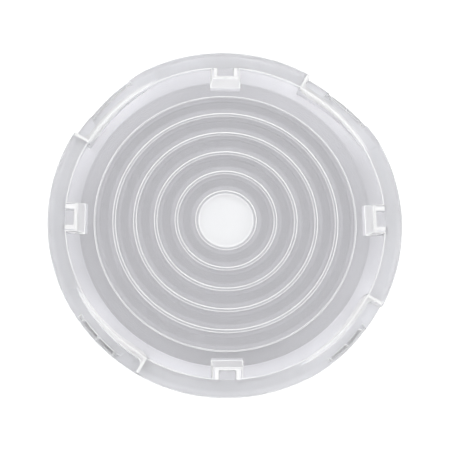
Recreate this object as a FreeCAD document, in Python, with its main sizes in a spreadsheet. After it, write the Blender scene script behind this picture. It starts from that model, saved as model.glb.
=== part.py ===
import FreeCAD, Part
import os
import re

import Sketcher

# The lens of a round high bay light: one injection moulding in clear polycarbonate.
# It lies on the seat of its skirt, with the side that the light leaves facing up.
# The origin is at the middle of the seat, and every level is measured up from there.

# Driving sizes, in millimetres and degrees
SIZES = {
    # Heights of the whole moulding and the wall it is moulded with
    "rise": 14.4,
    "wall": 3.0,
    # Flat flange, the skirt below its edge and the bevel between them
    "flange_width": 13.3,
    "skirt_wall": 2.4,
    "skirt_taper": 0.6,
    "rim_bevel": 1.2,
    # Dish: a cone down from the flange, then a margin that falls gently to the rings
    "cone_run": 9.8,
    "cone_drop": 6.2,
    "margin_run": 11.6,
    "margin_drop": 1.4,
    # Annular lenses, one over each circle of light sources, and the grooves between them.
    # Each is arched: a flat crown with shoulders above, and a shallow channel below.
    "ring_count": 5,
    "ring_pitch": 15.8,
    "groove_width": 1.9,
    "groove_depth": 0.6,
    "groove_slope": 0.35,
    "crown_rise": 0.8,
    "shoulder_run": 3.3,
    "plate_wall": 3.0,
    "channel_mouth": 12.4,
    "channel_roof": 5.0,
    "channel_depth": 1.4,
    # Flat window in the middle
    "window_radius": 20.7,
    "window_bevel": 0.65,
    # Hollow noses that reach in from the flange over the dish
    "nose_count": 4,
    "nose_width": 22.0,
    "nose_spread": 1.6,
    "nose_reach": 9.0,
    "nose_slope": 7.1,
    "nose_hollow": 12.8,
    "nose_end_wall": 2.2,
    # Ramps that sink into the flange from its edge, each with a landing at its deep end
    "ramp_count": 4,
    "step_angle": 60.0,
    "step_span": 34.0,
    "ramp_length": 58.0,
    "landing_depth": 10.1,
    "landing_round": 5.0,
    "ramp_ridge": 2.4,
    "ramp_wall": 4.2,
    # Ledge along each ramp's edge, the slot behind it and the three posts across it
    "ledge_start": 8.4,
    "ledge_drop": 2.0,
    "slot_inset": 4.7,
    "slot_width": 2.3,
    "slot_depth": 1.2,
    "post_count": 3,
    "post_inset": 1.8,
    "post_width": 2.2,
    "post_length": 3.4,
}

# Levels and radii that follow from the driving sizes, written once for the sketches
DERIVED = {
    "dish_level": "(rise - cone_drop)",
    "ring_level": "(rise - cone_drop - margin_drop)",
    "groove_level": "(rise - cone_drop - margin_drop - groove_depth)",
    "plate_level": "(rise - cone_drop - margin_drop - groove_depth - plate_wall)",
    "flange_under": "(rise - wall)",
    "window_edge": "(window_radius + window_bevel)",
    "rings_edge": "(window_edge + ring_count * ring_pitch)",
    "dish_radius": "(rings_edge + margin_run)",
    "cone_top": "(dish_radius + cone_run)",
    "rim_radius": "(cone_top + flange_width)",
    "cone_lean": "atan(cone_drop / cone_run)",
    "well_radius": "(cone_top + ramp_ridge)",
    "outside": "(rim_radius + wall)",
    "ramp_slope": "atan(landing_depth / ramp_length)",
    "slot_radius": "(rim_radius - slot_inset)",
    "ledge_span": "(asin(ramp_length / slot_radius) / 1 deg - ledge_start)",
}

SHEET = "sizes"
WORD = re.compile(r"[A-Za-z_]+")
# A sketch or a cut that must clear the moulding stands this far off it
CLEAR = 1.0
# Where one form grows out of another, it starts this far inside it
BITE = 1.5
# A ramp is drawn from this many degrees before the place where it leaves the flange
LEAD = 2.0


def write_sizes(doc):
    """Put every driving size in the sheet, with its name beside it and as its alias."""
    sheet = doc.addObject("Spreadsheet::Sheet", SHEET)
    for row, (name, size) in enumerate(SIZES.items(), start=1):
        sheet.set(f"A{row}", name)
        sheet.set(f"B{row}", str(size))
        sheet.setAlias(f"B{row}", name)
    doc.recompute()
    return sheet


def from_sheet(text):
    """Spell out derived names, then point each size at its cell."""
    def swap(found):
        word = found.group(0)
        if word in DERIVED:
            return from_sheet(DERIVED[word])
        if word in SIZES:
            return f"{SHEET}.{word}"
        return word
    return WORD.sub(swap, text)


def number(obj, text):
    """The present value of an expression."""
    result = obj.evalExpression(from_sheet(text))
    return float(getattr(result, "Value", result))


def origin_plane(body, role):
    for feature in body.Origin.OriginFeatures:
        if feature.Role == role:
            return feature


def new_sketch(body, name, support, level="0"):
    """A sketch on one of the body's planes, raised along the plane's normal."""
    sketch = body.newObject("Sketcher::SketchObject", name)
    sketch.AttachmentSupport = [(support, "")]
    sketch.MapMode = "FlatFace"
    sketch.setExpression("AttachmentOffset.Base.z", from_sheet(level))
    return sketch


def pin_point(sketch, edge, end, x_text, y_text):
    """Hold one end of an edge at the place that two expressions give."""
    for kind, text in (("DistanceX", x_text), ("DistanceY", y_text)):
        size = number(sketch, text)
        index = sketch.addConstraint(Sketcher.Constraint(kind, -1, 1, edge, end, size))
        sketch.setExpression(f"Constraints[{index}]", from_sheet(text))


def arc_between(start, end, radius, turn):
    """An arc from start to end; turn is 1 for anticlockwise and -1 for clockwise."""
    middle = (start + end) * 0.5
    along = end - start
    across = FreeCAD.Vector(-along.y, along.x, 0).normalize() * turn
    rise = max(radius ** 2 - (along.Length / 2) ** 2, 0) ** 0.5
    centre = middle + across * rise
    top = centre - across * radius
    return Part.Arc(start, top, end)


def close_outline(sketch, corners):
    """Draw a closed outline from corners (x, y).

    Where an arc leads on from a corner, it is (x, y, radius, turn).
    """
    places = [FreeCAD.Vector(number(sketch, c[0]), number(sketch, c[1]), 0) for c in corners]
    first = sketch.GeometryCount
    count = len(corners)
    for i, corner in enumerate(corners):
        start, end = places[i], places[(i + 1) % count]
        if len(corner) == 2:
            sketch.addGeometry(Part.LineSegment(start, end), False)
        else:
            sketch.addGeometry(arc_between(start, end, number(sketch, corner[2]), corner[3]), False)
    ends = [(1, 2) if len(c) == 2 or c[3] == 1 else (2, 1) for c in corners]
    for i, corner in enumerate(corners):
        after = (i + 1) % count
        joint = Sketcher.Constraint("Coincident", first + i, ends[i][1], first + after, ends[after][0])
        sketch.addConstraint(joint)
        pin_point(sketch, first + i, ends[i][0], corner[0], corner[1])
        if len(corner) == 4:
            radius = Sketcher.Constraint("Radius", first + i, number(sketch, corner[2]))
            index = sketch.addConstraint(radius)
            sketch.setExpression(f"Constraints[{index}]", from_sheet(corner[2]))


def polar(radius, angle):
    """The two coordinates of a point given by its radius and its angle in degrees."""
    return f"({radius}) * cos(({angle}) * 1 deg)", f"({radius}) * sin(({angle}) * 1 deg)"


def at_length(radius, length):
    """The point of a circle that lies a given length along the ramp."""
    return f"sqrt(({radius})^2 - ({length})^2)", length


def turned(body, kind, name, sketch):
    """A full turn of a sketch about the optical axis, added or cut."""
    feature = body.newObject(f"PartDesign::{kind}", name)
    feature.Profile = sketch
    feature.ReferenceAxis = (sketch, ["V_Axis"])
    feature.Angle = 360
    return feature


def repeat(body, name, originals, count):
    """Copies of some features all round the optical axis."""
    pattern = body.newObject("PartDesign::PolarPattern", name)
    pattern.Originals = originals
    pattern.Axis = (origin_plane(body, "Z_Axis"), [""])
    pattern.Angle = 360
    pattern.setExpression("Occurrences", from_sheet(count))
    body.Tip = pattern
    return pattern


def add_shell(body):
    """Skirt, flange, cone, margin and plate, as one turned section."""
    seat_edge = "rim_radius - skirt_taper"
    lean_out = "wall * sin(cone_lean)"
    lean_down = "wall * cos(cone_lean)"
    under_flange = f"cone_top + {lean_out} + (wall - {lean_down}) / tan(cone_lean)"
    under_foot = f"dish_radius + {lean_out}"
    sketch = new_sketch(body, "shell_section", origin_plane(body, "XZ_Plane"))
    close_outline(sketch, [
        ("0", "groove_level"),
        ("rings_edge", "groove_level"),
        ("rings_edge + groove_slope", "ring_level"),
        ("dish_radius", "dish_level"),
        ("cone_top", "rise"),
        ("rim_radius - rim_bevel", "rise"),
        ("rim_radius", "rise - rim_bevel"),
        (seat_edge, "0"),
        (f"{seat_edge} - skirt_wall", "0"),
        (f"{seat_edge} - skirt_wall", "flange_under"),
        (under_flange, "flange_under"),
        (under_foot, f"dish_level - {lean_down}"),
        ("dish_radius - margin_run", "plate_level"),
        ("0", "plate_level"),
    ])
    turned(body, "Revolution", "shell", sketch)


def add_window(body):
    """The flat window in the middle stands as high as the edges of the rings."""
    sketch = new_sketch(body, "window_section", origin_plane(body, "XZ_Plane"))
    close_outline(sketch, [
        ("0", "plate_level + plate_wall / 2"),
        ("window_edge", "plate_level + plate_wall / 2"),
        ("window_edge", "groove_level"),
        ("window_radius", "ring_level"),
        ("0", "ring_level"),
    ])
    turned(body, "Revolution", "window", sketch)


def add_ring(body, index):
    """One annular lens: a band with a flat crown and sloping shoulders, and the channel under it."""
    inner = f"window_edge + groove_width + {index} * ring_pitch"
    outer = f"window_edge + {index + 1} * ring_pitch"
    middle = f"({inner} + {outer}) / 2"
    band = new_sketch(body, f"ring_section_{index + 1}", origin_plane(body, "XZ_Plane"))
    close_outline(band, [
        (inner, "plate_level + plate_wall / 2"),
        (inner, "groove_level"),
        (f"{inner} + groove_slope", "ring_level"),
        (f"{inner} + groove_slope + shoulder_run", "ring_level + crown_rise"),
        (f"{outer} - groove_slope - shoulder_run", "ring_level + crown_rise"),
        (f"{outer} - groove_slope", "ring_level"),
        (outer, "groove_level"),
        (outer, "plate_level + plate_wall / 2"),
    ])
    turned(body, "Revolution", f"ring_{index + 1}", band)
    roof = "channel_roof / 2"
    mouth = "channel_mouth / 2"
    channel = new_sketch(body, f"channel_section_{index + 1}", origin_plane(body, "XZ_Plane"))
    close_outline(channel, [
        (f"{middle} - {mouth}", "plate_level"),
        (f"{middle} - {roof}", "plate_level + channel_depth"),
        (f"{middle} + {roof}", "plate_level + channel_depth"),
        (f"{middle} + {mouth}", "plate_level"),
    ])
    turned(body, "Groove", f"channel_{index + 1}", channel)


def nose_outline(sketch, front, half_width):
    """The plan of a nose, from its front to where it runs into the flange."""
    back = f"cone_top + {BITE}"
    close_outline(sketch, [
        (front, f"-({half_width})"),
        (back, f"-({half_width})"),
        (back, half_width),
        (front, half_width),
    ])


def add_noses(body):
    """Noses level with the flange over the dish, tapered like the mould and hollow from below."""
    plan = origin_plane(body, "XY_Plane")
    foot_level = "(ring_level - plate_wall / 2)"
    foot = new_sketch(body, "nose_foot", plan, foot_level)
    nose_outline(foot, "cone_top - nose_reach - nose_slope", "nose_width / 2 + nose_spread / 2")
    top = new_sketch(body, "nose_top", plan, "rise")
    nose_outline(top, "cone_top - nose_reach", "nose_width / 2")
    nose = body.newObject("PartDesign::AdditiveLoft", "nose")
    nose.Profile = foot
    nose.Sections = [top]
    nose.Ruled = True
    hollow_plan = new_sketch(body, "nose_hollow_plan", plan)
    front = "cone_top - nose_reach + nose_end_wall"
    # The hollow runs on outwards until it opens under the flange
    back = "(cone_top + wall * 2)"
    close_outline(hollow_plan, [
        (front, "-nose_hollow / 2"),
        (back, "-nose_hollow / 2"),
        (back, "nose_hollow / 2"),
        (front, "nose_hollow / 2"),
    ])
    hollow = body.newObject("PartDesign::Pocket", "nose_hollow_cut")
    hollow.Profile = hollow_plan
    hollow.setExpression("Length", from_sheet("flange_under"))
    hollow.Reversed = True
    repeat(body, "noses", [nose, hollow], "nose_count")


def turned_plane(body, name, support, axis, level, angle):
    """A plane raised off its support and turned about an axis; the sheet gives both amounts."""
    plane = body.newObject("PartDesign::Plane", name)
    plane.AttachmentSupport = [(support, "")]
    plane.MapMode = "FlatFace"
    # The axis has to be set with some turn before an expression can drive the angle
    turn = FreeCAD.Rotation(FreeCAD.Vector(*axis), 1)
    plane.AttachmentOffset = FreeCAD.Placement(FreeCAD.Vector(), turn)
    plane.setExpression("AttachmentOffset.Base.z", from_sheet(level))
    plane.setExpression("AttachmentOffset.Rotation.Angle", from_sheet(angle))
    return plane


def ramp_planes(body):
    """The level frame that a ramp is drawn in, and the slopes of its floor, ledge, slot and underside."""
    frame = turned_plane(body, "ramp_frame", origin_plane(body, "XY_Plane"), (0, 0, 1),
                         "rise", "(step_angle - step_span) * 1 deg")
    drops = {
        "floor": "0",
        "ledge": "ledge_drop",
        "slot": "ledge_drop + slot_depth",
        "under": "ramp_wall",
    }
    slopes = [
        turned_plane(body, f"ramp_{name}_slope", frame, (1, 0, 0), f"-({drop})", "-ramp_slope")
        for name, drop in drops.items()
    ]
    return frame, slopes


def ramp_feature(body, kind, name, sketch, slope=None, depth=None, reverse=False):
    """A pad or a pocket that goes down from its sketch to a slope or by a depth."""
    feature = body.newObject(f"PartDesign::{kind}", name)
    feature.Profile = sketch
    feature.Reversed = reverse
    if slope:
        feature.Type = "UpToFace"
        feature.UpToFace = (slope, [""])
    else:
        feature.setExpression("Length", from_sheet(depth))
    return feature


def add_ramps(body):
    """Ramps for a twist-on fitting: floor, landing, ledge, slot and posts, repeated round the rim."""
    frame, (floor, ledge_slope, slot_slope, under) = ramp_planes(body)
    lead = f"-{LEAD}"
    inside = "well_radius - wall"
    skirt = "(rim_radius - skirt_taper - skirt_wall / 2)"
    beyond = "(step_span + asin(wall / well_radius) / 1 deg)"
    corner_radius = "(well_radius + landing_round)"
    corner_turn = f"(step_span - asin(landing_round / {corner_radius}) / 1 deg)"
    parts = []

    bed = new_sketch(body, "ramp_bed_plan", frame, f"-{BITE}")
    close_outline(bed, [
        (*polar(inside, lead), inside, 1),
        at_length(inside, "ramp_length"),
        (*at_length(skirt, "ramp_length"), skirt, -1),
        polar(skirt, lead),
    ])
    parts.append(ramp_feature(body, "Pad", "ramp_bed", bed, under, reverse=True))

    landing_bed = new_sketch(body, "landing_bed_plan", frame, f"-{BITE}")
    close_outline(landing_bed, [
        (*at_length(inside, "ramp_length"), inside, 1),
        polar(inside, beyond),
        (*polar(skirt, beyond), skirt, -1),
        at_length(skirt, "ramp_length"),
    ])
    depth = f"landing_depth + ramp_wall - {BITE}"
    parts.append(ramp_feature(body, "Pad", "landing_bed", landing_bed, depth=depth, reverse=True))

    ramp = new_sketch(body, "ramp_plan", frame, f"{CLEAR}")
    close_outline(ramp, [
        (*polar("well_radius", lead), "well_radius", 1),
        at_length("well_radius", "ramp_length"),
        (*at_length("outside", "ramp_length"), "outside", -1),
        polar("outside", lead),
    ])
    parts.append(ramp_feature(body, "Pocket", "ramp", ramp, floor))

    landing = new_sketch(body, "landing_plan", frame, f"{CLEAR}")
    close_outline(landing, [
        (*at_length("well_radius", "ramp_length"), "well_radius", 1),
        (*polar("well_radius", corner_turn), "landing_round", -1),
        polar(f"sqrt({corner_radius}^2 - landing_round^2)", "step_span"),
        (*polar("outside", "step_span"), "outside", -1),
        at_length("outside", "ramp_length"),
    ])
    parts.append(ramp_feature(body, "Pocket", "landing", landing, depth=f"landing_depth + {CLEAR}"))

    # Ledge and slot end with the ramp, so the bed under them is as thick as under its floor
    cuts = [
        ("ledge", "outside", ledge_slope),
        ("slot", "(slot_radius + slot_width)", slot_slope),
    ]
    for name, outer, slope in cuts:
        plan = new_sketch(body, f"{name}_plan", frame, f"{CLEAR}")
        close_outline(plan, [
            (*polar("slot_radius", "ledge_start"), "slot_radius", 1),
            at_length("slot_radius", "ramp_length"),
            (*at_length(outer, "ramp_length"), outer, -1),
            polar(outer, "ledge_start"),
        ])
        parts.append(ramp_feature(body, "Pocket", name, plan, slope))

    posts = new_sketch(body, "post_plan", floor)
    for index in range(int(SIZES["post_count"])):
        turn = f"(ledge_start + post_inset + {index} * (ledge_span - 2 * post_inset) / (post_count - 1))"
        spread = "(post_width / 2 / slot_radius * 180 / pi)"
        root = f"(slot_radius - {BITE})"
        points = [
            polar(root, f"{turn} - {spread}"),
            polar(root, f"{turn} + {spread}"),
            polar("slot_radius", f"{turn} + {spread}"),
            polar("slot_radius + post_length", turn),
            polar("slot_radius", f"{turn} - {spread}"),
        ]
        close_outline(posts, [(x, f"({y}) / cos(ramp_slope)") for x, y in points])
    # Each post is rooted half a slot's depth below the floor of the slot
    depth = "ledge_drop + slot_depth + slot_depth / 2"
    parts.append(ramp_feature(body, "Pad", "posts", posts, depth=depth, reverse=True))
    repeat(body, "ramps", parts, "ramp_count")


def make_lens(doc):
    body = doc.addObject("PartDesign::Body", "lens")
    body.Label = "lens"
    add_shell(body)
    add_window(body)
    for index in range(int(SIZES["ring_count"])):
        add_ring(body, index)
    add_noses(body)
    add_ramps(body)
    return body


def check(doc, parts):
    """Stop where any object failed or any part has no sound shape."""
    for item in doc.Objects:
        if "Invalid" in item.State or "Error" in item.State:
            raise RuntimeError(f"{item.Name} did not build: {item.State}")
    for item in parts:
        if item.Shape.isNull() or not item.Shape.isValid():
            raise RuntimeError(f"{item.Label} has no sound shape")


doc = FreeCAD.newDocument("high_bay_lens")
write_sizes(doc)
lens = make_lens(doc)
doc.recompute()
check(doc, [lens])
os.makedirs("parts", exist_ok=True)
lens.Shape.exportStep(f"parts/{lens.Label}.step")
print(lens.Label, "solids", len(lens.Shape.Solids), "volume", round(lens.Shape.Volume, 1))
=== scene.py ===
import math

import bmesh
import bpy
from mathutils import Matrix, Vector


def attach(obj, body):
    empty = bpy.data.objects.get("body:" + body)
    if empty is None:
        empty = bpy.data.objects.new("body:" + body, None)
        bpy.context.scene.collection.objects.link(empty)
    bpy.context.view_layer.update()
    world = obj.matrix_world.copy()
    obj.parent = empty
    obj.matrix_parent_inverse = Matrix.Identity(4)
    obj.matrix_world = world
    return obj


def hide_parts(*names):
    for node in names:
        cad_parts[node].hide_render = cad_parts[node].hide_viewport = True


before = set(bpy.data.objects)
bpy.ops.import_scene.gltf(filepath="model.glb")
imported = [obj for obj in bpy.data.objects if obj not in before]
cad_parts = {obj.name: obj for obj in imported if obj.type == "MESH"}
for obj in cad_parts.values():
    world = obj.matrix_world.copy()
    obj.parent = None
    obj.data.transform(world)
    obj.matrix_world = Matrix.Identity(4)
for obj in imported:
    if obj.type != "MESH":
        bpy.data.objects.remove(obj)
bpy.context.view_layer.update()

# Camera. It looks almost straight down the optical axis from 0.71 m, a little from the front,
# so that the far side of the dish opens up and the near skirt stays hidden.
scene = bpy.context.scene
scene.view_settings.view_transform = "Standard"
tilt = math.radians(13.818)
front = math.radians(-102.493)
camera_place = (-0.03784, -0.17110, 0.70253)
lean_axis = Vector((math.cos(front), math.sin(front), 0)).cross(Vector((0, 0, 1)))
camera_turn = Matrix.Rotation(tilt, 3, lean_axis).transposed()
camera_data = bpy.data.cameras.new("camera")
camera_data.sensor_width = 36.0
camera_data.lens = 74.81
camera = bpy.data.objects.new("camera", camera_data)
camera.matrix_world = Matrix.Translation(camera_place) @ camera_turn.to_4x4()
scene.collection.objects.link(camera)
scene.camera = camera


# Floor and studio. A white paper sweep lies under the lens, in a white tent that is a little
# brighter on the camera's side, so the far slope of the dish comes out lighter. Light that the
# clear moulding traps bounces many times before it gets out.
class Maths:
    """A shader socket that Python's operators can be used on. Each one adds a Math node."""

    def __init__(self, nodes, socket):
        self.nodes = nodes
        self.socket = socket

    def work(self, operation, *others):
        return self.nodes.add("ShaderNodeMath", {"operation": operation}, [self, *others])

    def __add__(self, other): return self.work("ADD", other)
    def __radd__(self, other): return self.work("ADD", other)
    def __sub__(self, other): return self.work("SUBTRACT", other)
    def __rsub__(self, other): return (self * -1) + other
    def __mul__(self, other): return self.work("MULTIPLY", other)
    def __rmul__(self, other): return self.work("MULTIPLY", other)
    def __truediv__(self, other): return self.work("DIVIDE", other)
    def __mod__(self, other): return self.work("FLOORED_MODULO", other)
    def __abs__(self): return self.work("ABSOLUTE")
    def __pow__(self, other): return self.work("POWER", other)

    def above(self, edge, soft):
        """1 where the value is past the edge, 0 short of it, with a soft step between."""
        return self.nodes.add("ShaderNodeMapRange", {"interpolation_type": "SMOOTHSTEP"}, {
            "Value": self, "From Min": edge - soft / 2, "From Max": edge + soft / 2})

    def below(self, edge, soft):
        return 1 - self.above(edge, soft)

    def between(self, low, high, soft):
        return self.above(low, soft) * self.below(high, soft)


class Nodes:
    """The node tree of one finish."""

    def __init__(self, tree):
        self.tree = tree
        tree.nodes.clear()

    def add(self, kind, settings=None, values=None, output=0):
        """A node of that type: its settings first, then its sockets' values or links."""
        node = self.tree.nodes.new(kind)
        for name, value in (settings or {}).items():
            setattr(node, name, value)
        pairs = values.items() if isinstance(values, dict) else enumerate(values or [])
        for key, value in pairs:
            if isinstance(value, Maths):
                self.tree.links.new(value.socket, node.inputs[key])
            else:
                node.inputs[key].default_value = value
        return Maths(self, node.outputs[output]) if node.outputs else node


tent_glow = 1.45
front_glow = 0.5
light_bounces = 64
tent = bpy.data.worlds.new("white_tent")
tent.use_nodes = True
scene.world = tent
scene.cycles.max_bounces = light_bounces
scene.cycles.transmission_bounces = light_bounces
scene.cycles.glossy_bounces = light_bounces
air = Nodes(tent.node_tree)
direction = air.add("ShaderNodeTexCoord", output="Generated")
light_from = Vector((math.cos(front), math.sin(front), 1.0)).normalized()
facing = air.add("ShaderNodeVectorMath", {"operation": "DOT_PRODUCT"},
                 {0: direction, 1: light_from}, output="Value")
glow = air.add("ShaderNodeBackground", values={
    "Color": (1, 1, 1, 1), "Strength": tent_glow + front_glow * facing})
air.add("ShaderNodeOutputWorld", values={"Surface": glow})

floor_size = 8.0
floor_gap = 0.0002
paper_white = 0.96
floor_mesh = bpy.data.meshes.new("floor")
floor_bm = bmesh.new()
bmesh.ops.create_grid(floor_bm, x_segments=1, y_segments=1, size=floor_size)
floor_bm.to_mesh(floor_mesh)
floor_bm.free()
floor = bpy.data.objects.new("floor", floor_mesh)
floor.location.z = -floor_gap
scene.collection.objects.link(floor)
paper = bpy.data.materials.new("floor_paper")
paper.use_nodes = True
sweep = Nodes(paper.node_tree)
surface = sweep.add("ShaderNodeBsdfDiffuse",
                    values={"Color": (paper_white, paper_white, paper_white, 1)})
sweep.add("ShaderNodeOutputMaterial", values={"Surface": surface})
floor_mesh.materials.append(paper)

# Lens. One injection moulding in clear polycarbonate, with a polished window and rings, a
# finely textured flange, and steps and noses that are spark finished or frosted, their white
# also painting the light that the clear resin pipes. It rests on its skirt, and its four ramps
# take a twist-on fitting.
mm = 0.001
quarter = 90
window_edge = 21.35
groove_width = 1.9
ring_pitch = 15.8
rings_edge = 100.35
dish_radius = 111.95
cone_top = 121.75
well_radius = 124.15
merge_gap = 0.001
plane_gap = 0.03
flat_turn = math.radians(0.6)

moulding_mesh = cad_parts["lens"].data.copy()
moulding_mesh.name = "clear_moulding"
moulding_mesh.materials.clear()
# The spark and frosted finishes are partly painted light: their white also stands for bright lines
# and for light piped through the clear resin.
clear, spark_and_painted_light, frosted_and_painted_light = 0, 1, 2
for name in ("polycarbonate", "spark_finish_and_painted_light", "frosted_walls_and_painted_light"):
    moulding_mesh.materials.append(bpy.data.materials.new(name))
moulding_bm = bmesh.new()
moulding_bm.from_mesh(moulding_mesh)
bmesh.ops.remove_doubles(moulding_bm, verts=moulding_bm.verts, dist=merge_gap * mm)
bmesh.ops.recalc_face_normals(moulding_bm, faces=moulding_bm.faces)
bmesh.ops.dissolve_limit(moulding_bm, angle_limit=flat_turn,
                         verts=moulding_bm.verts, edges=moulding_bm.edges)


def part_along(faces, point, normal):
    """Parts those faces of the moulding along the plane through a point."""
    touched = {piece for face in faces for piece in (*face.verts, *face.edges, face)}
    bmesh.ops.bisect_plane(moulding_bm, geom=list(touched), plane_co=point, plane_no=normal,
                           dist=plane_gap * mm)


# The wide faces of flange and ramps are parted by planes through the axis, clear of the posts.
# Each plane parts two ramps that lie opposite each other.
ramp_start = 26
ramp_step = 60
white_edge = 61.1
parting_angles = (28.5, 33, 39.8, 46.9, 55.5, 57.3, 58.8, ramp_step, white_edge)
for turn in range(2):
    for angle in parting_angles:
        turned = Matrix.Rotation(math.radians(quarter * turn + angle), 3, "Z")
        outer = [face for face in moulding_bm.faces
                 if any(math.hypot(v.co.x, v.co.y) > (dish_radius + 2) * mm for v in face.verts)]
        part_along(outer, Vector((0, 0, 0)), turned @ Vector((0, 1, 0)))

# The tops of the noses are parted over their side and end walls, so that the light those walls
# pipe up can be painted on the faces above them
faces_up = 0.99
top_level = 14.3
nose_half = 11.0
nose_front = 112.75
white_half = 9.4
white_front = 113.65
hollow_half = 6.4
hollow_front = 114.95
nose_back = cone_top + 0.05
for turn in range(4):
    out = Matrix.Rotation(math.radians(quarter * turn), 3, "Z") @ Vector((1, 0, 0))
    side = Matrix.Rotation(math.radians(quarter), 3, "Z") @ out
    for point, normal in ((side * white_half, side), (side * -white_half, side),
                          (out * white_front, out),
                          (side * hollow_half, side), (side * -hollow_half, side),
                          (out * hollow_front, out), (out * nose_back, out)):
        tops = [face for face in moulding_bm.faces if face.normal.z > faces_up
                and any(abs(v.co.dot(side)) < (nose_half + 0.2) * mm
                        and v.co.dot(out) > (nose_front - 1) * mm
                        and v.co.z > top_level * mm for v in face.verts)]
        part_along(tops, point * mm, normal)

# Light piped up the pocket beside each ramp is painted on the cone as a white band, with a
# softer one inside it. Both widen towards the step, and each flat of the cone is parted along
# them.
white_width = 2.0
soft_width = 3.9
corner_start = 30.0
cone_foot = 9
ramp_length = ramp_step - ramp_start
band_length = white_edge - ramp_start


def past(point):
    """The angle past the shallow end of the nearest ramp, in degrees."""
    return (math.degrees(math.atan2(point.y, point.x)) - ramp_start) % quarter


def band_edge(degrees, width):
    """The inner radius of a band at that angle. Its end is rounded off to a corner."""
    round_off = max(0, degrees - corner_start) / (band_length - corner_start)
    widening = min(degrees, corner_start) / corner_start
    return cone_top - width * widening * math.sqrt(max(0, 1 - round_off ** 2))


def cone_flats():
    """The flats of the cone beside the ramps, each with its middle in millimetres."""
    moulding_bm.normal_update()
    for flat in moulding_bm.faces[:]:
        middle = flat.calc_center_median() / mm
        if 0.6 < flat.normal.z < 0.98 and middle.z > cone_foot and 1 < past(middle) < band_length \
                and dish_radius < math.hypot(middle.x, middle.y) < cone_top:
            yield flat, middle


for width in (white_width, soft_width):
    for flat, middle in list(cone_flats()):
        ends = [math.radians(past(v.co)) for v in flat.verts]
        turned = math.atan2(middle.y, middle.x) - math.radians(past(middle))
        low, high = (Vector((math.cos(turned + end), math.sin(turned + end), 0))
                     * band_edge(math.degrees(end), width) * mm for end in (min(ends), max(ends)))
        part_along([flat], low, (high - low).cross(Vector((0, 0, 1))).normalized())
white_band, soft_band = ([flat for flat, middle in cone_flats()
                          if math.hypot(middle.x, middle.y) > band_edge(past(middle), width)]
                         for width in (white_width, soft_width))

# Posts, the bed's wall, the step, the groove walls, the white band and the upper front of the
# noses are spark finished; on the groove walls its white is painted bright lines, and on the
# white band and the noses' fronts painted piped light. The rest of the noses, the ridges, the
# walls of the pockets and the soft band are frosted, whose white on the noses and the soft band
# is painted piped light.
first_post = 10.2
post_pitch = 7.2
post_half = 1.0
bed_end = 36
groove_bottom = 6
groove_brim = 7
ridge_start = 2.4
overhung = -0.3
steep = 0.4
moulding_bm.normal_update()
for face in moulding_bm.faces:
    face.smooth = True
    slant = face.normal.z
    middle = face.calc_center_median() / mm
    radius = math.hypot(middle.x, middle.y)
    past_start = past(middle)
    near_axis, far_axis = sorted((abs(middle.x), abs(middle.y)))
    on_top = slant > faces_up and middle.z > top_level
    over_hollow = near_axis < hollow_half and far_axis > hollow_front
    on_nose = on_top and far_axis < cone_top and not over_hollow

    from_post = max(abs((past(v.co) - first_post + post_pitch / 2) % post_pitch - post_pitch / 2)
                    for v in face.verts)
    post = from_post < post_half and 6 < past_start < 28 and 130 < radius < 134.2 \
        and 2.5 < middle.z < 14
    bed_wall = 120.5 < radius < 122 and -steep < slant < steep and 0 < past_start < bed_end
    step_top = on_top and ramp_length < past_start < band_length
    groove_wall = window_edge < radius < rings_edge - 1 and 0.3 < slant < 0.7 \
        and groove_bottom < middle.z < groove_brim
    upper_front = on_nose and far_axis > white_front and near_axis < white_half

    nose_wall = near_axis < nose_half + 1.5 and rings_edge + 2 < radius < cone_top \
        and overhung < slant < 0.8 and middle.z > 8.5
    nose_top = on_nose and near_axis < nose_half
    ridge = on_top and ridge_start < past_start < band_length
    pocket_wall = cone_top + 1 < radius < 133 and overhung < slant < steep and middle.z > 4

    if post or bed_wall or step_top or groove_wall or upper_front or face in white_band:
        face.material_index = spark_and_painted_light
    elif nose_wall or nose_top or ridge or pocket_wall or face in soft_band:
        face.material_index = frosted_and_painted_light

# Every sharp edge gets its small radius, except the crowns' own edges, the ones that lie
# hidden under cone and skirt, and the thin tips of the posts
sharp_turn = math.radians(22)
ring_line = 0.22
dish_edge = 0.5
cone_edge = 0.38
outer_edge = 0.3
groove_middle = 6.5
dish_level = 8
weights = moulding_bm.edges.layers.float.new("bevel_weight_edge")
for edge in moulding_bm.edges:
    if edge.calc_face_angle(0) < sharp_turn:
        continue
    middle = (edge.verts[0].co + edge.verts[1].co) / 2 / mm
    radius = math.hypot(middle.x, middle.y)
    near_axis = min(abs(middle.x), abs(middle.y))
    in_groove = window_edge < radius < rings_edge - 1
    groove_floor = in_groove and groove_bottom < middle.z < groove_middle
    first_line = window_edge - 1 < radius < window_edge + 0.2 and middle.z > groove_middle
    last_line = radius > rings_edge - 0.5 and middle.z > groove_middle
    under_cone = dish_radius - 0.5 < radius < cone_top + 1 and near_axis > nose_half + 2 \
        and middle.z < 14
    under_skirt = 118 < radius < 133 and middle.z < 1.5
    post_tip = 132.75 < radius < 134 and middle.z > 2
    if radius < rings_edge + 0.5:
        edge[weights] = ring_line if groove_floor or first_line or last_line else 0
    elif under_cone or under_skirt or post_tip:
        edge[weights] = 0
    elif radius < cone_top - 0.3 and middle.z > dish_level:
        edge[weights] = dish_edge
    elif radius < cone_top + 0.1 and middle.z > dish_level:
        edge[weights] = cone_edge
    else:
        edge[weights] = outer_edge
moulding_bm.to_mesh(moulding_mesh)
moulding_bm.free()
if "custom_normal" in moulding_mesh.attributes:
    moulding_mesh.attributes.remove(moulding_mesh.attributes["custom_normal"])
sharp_moulding = bpy.data.objects.new("sharp_moulding", moulding_mesh)
scene.collection.objects.link(sharp_moulding)
radii = sharp_moulding.modifiers.new("edge_radii", "BEVEL")
radii.limit_method = "WEIGHT"
radii.width = mm
radii.segments = 2
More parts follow.
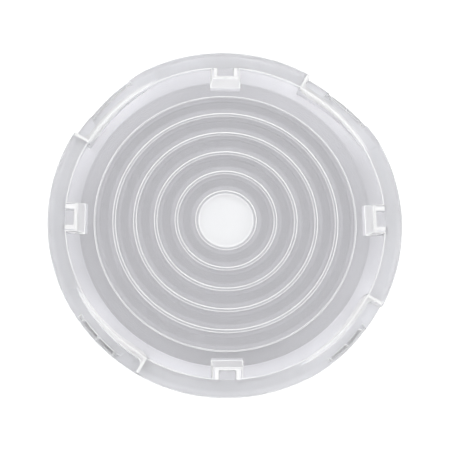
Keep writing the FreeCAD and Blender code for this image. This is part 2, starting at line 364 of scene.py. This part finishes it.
radii.use_clamp_overlap = False
# The rounded edges take the spark finish, whose white paints a highlight along each edge
radii.material = spark_and_painted_light
ready = sharp_moulding.evaluated_get(bpy.context.evaluated_depsgraph_get())
rounded_mesh = bpy.data.meshes.new_from_object(ready)
rounded_mesh.name = "clear_moulding"
bpy.data.objects.remove(sharp_moulding)
moulding = bpy.data.objects.new("clear_moulding", rounded_mesh)
scene.collection.objects.link(moulding)

# A face turned about the axis is shaded as the true round form, and any other face as flat.
# The rounded rim stays as clear as the flange.
rim_start = 133.6
rim_level = 12.4
corner_normals = []
for face in rounded_mesh.polygons:
    outwards = Vector((face.center.x, face.center.y, 0)).normalized()
    across = Vector((-outwards.y, outwards.x, 0))
    radius = math.hypot(face.center.x, face.center.y) / mm
    near_axis = min(abs(face.center.x), abs(face.center.y)) / mm
    if radius > rim_start and face.center.z > rim_level * mm:
        face.material_index = clear
    is_round = abs(face.normal.dot(across)) < 0.05 \
        and not (near_axis < nose_half + 1 and radius > rings_edge + 1)
    for corner in face.vertices:
        place = rounded_mesh.vertices[corner].co
        away = Vector((place.x, place.y, 0)).normalized()
        turned = away * face.normal.dot(outwards) + Vector((0, 0, face.normal.z))
        corner_normals.append(turned.normalized() if is_round else face.normal.copy())
rounded_mesh.normals_split_custom_set(corner_normals)

resin_index = 1.58


def start_resin(name):
    """The empty node tree of a finish, with the place on the moulding in millimetres."""
    finish = bpy.data.materials[name]
    finish.use_nodes = True
    resin = Nodes(finish.node_tree)
    place = resin.add("ShaderNodeTexCoord", output="Object")
    x, y = (resin.add("ShaderNodeSeparateXYZ", values=[place], output=axis) / mm for axis in "XY")
    return resin, place, x, y


# The parts of the clear resin, from the window out to the flange, and the crown of each ring
resin, place, x, y = start_resin("polycarbonate")
radius = (x * x + y * y) ** 0.5
in_window = radius.below(window_edge, 0.3)
in_rings = radius.between(window_edge, rings_edge, 0.2)
in_margin = radius.between(rings_edge, dish_radius, 0.4)
in_cone = radius.between(dish_radius, cone_top, 0.3)
in_flange = radius.above(cone_top, 0.3)
crown_half = 3.1
crown_middle = (groove_width + ring_pitch) / 2
from_middle = abs((radius - window_edge) % ring_pitch - crown_middle)
in_crown = from_middle.below(crown_half, 1.6) * in_rings

# The four ramps, each from its step to its shallow end
angle = resin.add("ShaderNodeMath", {"operation": "ARCTAN2"}, [y, x]) * (180 / math.pi)
along_ramp = ((angle - ramp_step) * -1) % quarter
in_ramp = along_ramp.below(ramp_length, 1.0)
ramp_floor = in_ramp * radius.above(well_radius, 0.4) * along_ramp.below(27, 14)

# The four noses lie on the axes
nose_foot = 105.6
near_axis = resin.add("ShaderNodeMath", {"operation": "MINIMUM"}, [abs(x), abs(y)])
far_axis = resin.add("ShaderNodeMath", {"operation": "MAXIMUM"}, [abs(x), abs(y)])
in_nose = near_axis.below(nose_half + 0.6, 0.4) * far_axis.between(nose_foot, cone_top, 0.4)
nose_top = in_nose * far_axis.above(nose_front, 0.4)
in_hollow = near_axis.below(hollow_half, 0.4) * far_axis.above(hollow_front, 0.4)
nose_wall = nose_top * (1 - in_hollow)
nose_face = in_nose * far_axis.below(nose_front, 0.4)


def waves(level, *swings):
    """A tone with painted light and shade that vary round the lens: the height, number and first
    crest of each swing.
    """
    for height, times, crest in swings:
        level = level + height * resin.add("ShaderNodeMath", {"operation": "COSINE"}, [
            (angle - crest) * (times * math.pi / 180)])
    return level


# The tone of each part, with painted light and shade that vary round the lens. The cone is painted
# whitest beside the ramps, whose walls pipe light to it, the margin has a thin shade near its
# outer edge, and the flange brightens towards its rim.
window_tone = 0.98
ring_tone = 0.75
crown_shade = 0.10
cone_height = (radius - dish_radius) / (cone_top - dish_radius)
cone_tone = (0.863 + 0.02 * cone_height) * waves(
    1.025, (0.05, 1, -116), (0.06, 2, 90), (0.08, 4, 52), (0.035, 8, 3.4))
margin_shade = 0.02 * radius.between(109.6, 111.3, 0.6)
margin_tone = waves(0.73, (0.037, 1, 65), (0.008, 2, -13), (0.023, 4, 50)) - margin_shade
mottle = resin.add("ShaderNodeTexNoise", values={"Vector": place, "Scale": 140.0, "Detail": 4.0},
                   output="Fac")
flange_tone = waves(0.788, (0.038, 1, 50), (0.019, 2, -42)) \
    + 0.06 * (mottle - 0.5) + 0.18 * radius.above(131, 4)
tone = window_tone * in_window + ring_tone * in_rings - crown_shade * in_crown \
    + margin_tone * in_margin + cone_tone * in_cone + flange_tone * in_flange

# The ramps' floors are painted lightest on the far side, to the right, and the slot is in shade
# between its posts, more so on the near side
slot_shade = 0.22
slot_inside, slot_outside = 130.3, 132.7
first_bay, second_bay = (10.2, 16.0), (17.2, 23.3)
east, north = x / radius, y / radius
floor_tone = 0.945 + 0.07 * north + 0.06 * east
tone = tone + ramp_floor * (floor_tone - tone)
in_slot = radius.between(slot_inside, slot_outside, 0.3) \
    * (along_ramp.between(*first_bay, 0.3) + along_ramp.between(*second_bay, 0.3))
tone = tone - in_slot * (slot_shade - 0.17 * north)

# Noses, and the thick wall beside each ramp, which pipes light up to the surface; that light is
# painted on as white
whitest = 0.97
nose_top_tone = 0.80
nose_face_tone = 0.95
tone = tone + nose_top * (nose_top_tone - tone)
tone = tone + nose_wall * (whitest - tone)
tone = tone + nose_face * (nose_face_tone - tone)
wall_reach = 123.0 - 4.0 * (1 - along_ramp / ramp_length)
ramp_wall = in_ramp * radius.below(well_radius, 0.5) * (radius - wall_reach).above(0, 0.8)
tone = tone + ramp_wall * (whitest - tone)
tone = tone.work("MINIMUM", whitest)

# The resin is a little blue, less so in the window, and the flange's texture dulls it
green = tone * (0.998 + 0.006 * in_flange + 0.006 * in_window)
blue = tone * (1.03 - 0.016 * in_window)
colour = resin.add("ShaderNodeCombineColor", values=[tone, green, blue])
texture = resin.add("ShaderNodeTexNoise", output="Fac",
                    values={"Vector": place, "Scale": 1800.0, "Detail": 2.0})
roughness = 0.04 + 0.34 * in_flange + 0.1 * in_margin
bump = resin.add("ShaderNodeBump", values={
    "Strength": 0.15, "Distance": 0.0003, "Height": texture * in_flange})
shader = resin.add("ShaderNodeBsdfPrincipled", values={
    "Base Color": colour, "Roughness": roughness, "IOR": resin_index,
    "Transmission Weight": 1.0, "Normal": bump})
resin.add("ShaderNodeOutputMaterial", values={"Surface": shader})

# Spark finished and frosted faces scatter the light, and their white also paints piped light and
# bright lines. The spark finish is darker past the dish.
for name, whiteness, outer_loss, clearness in (("spark_finish_and_painted_light", 0.90, 0.25, 0.4),
                                               ("frosted_walls_and_painted_light", 0.86, 0, 0.85)):
    resin, place, x, y = start_resin(name)
    grain = resin.add("ShaderNodeTexNoise", output="Fac",
                      values={"Vector": place, "Scale": 900.0, "Detail": 3.0})
    past_dish = ((x * x + y * y) ** 0.5).above(dish_radius, 0.4)
    white = whiteness + 0.1 * grain - outer_loss * past_dish
    shader = resin.add("ShaderNodeBsdfPrincipled", values={
        "Base Color": resin.add("ShaderNodeCombineColor", values=[white, white, white]),
        "Roughness": 0.35 + 0.1 * grain, "IOR": resin_index, "Transmission Weight": clearness})
    resin.add("ShaderNodeOutputMaterial", values={"Surface": shader})

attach(moulding, "root")
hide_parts("lens")
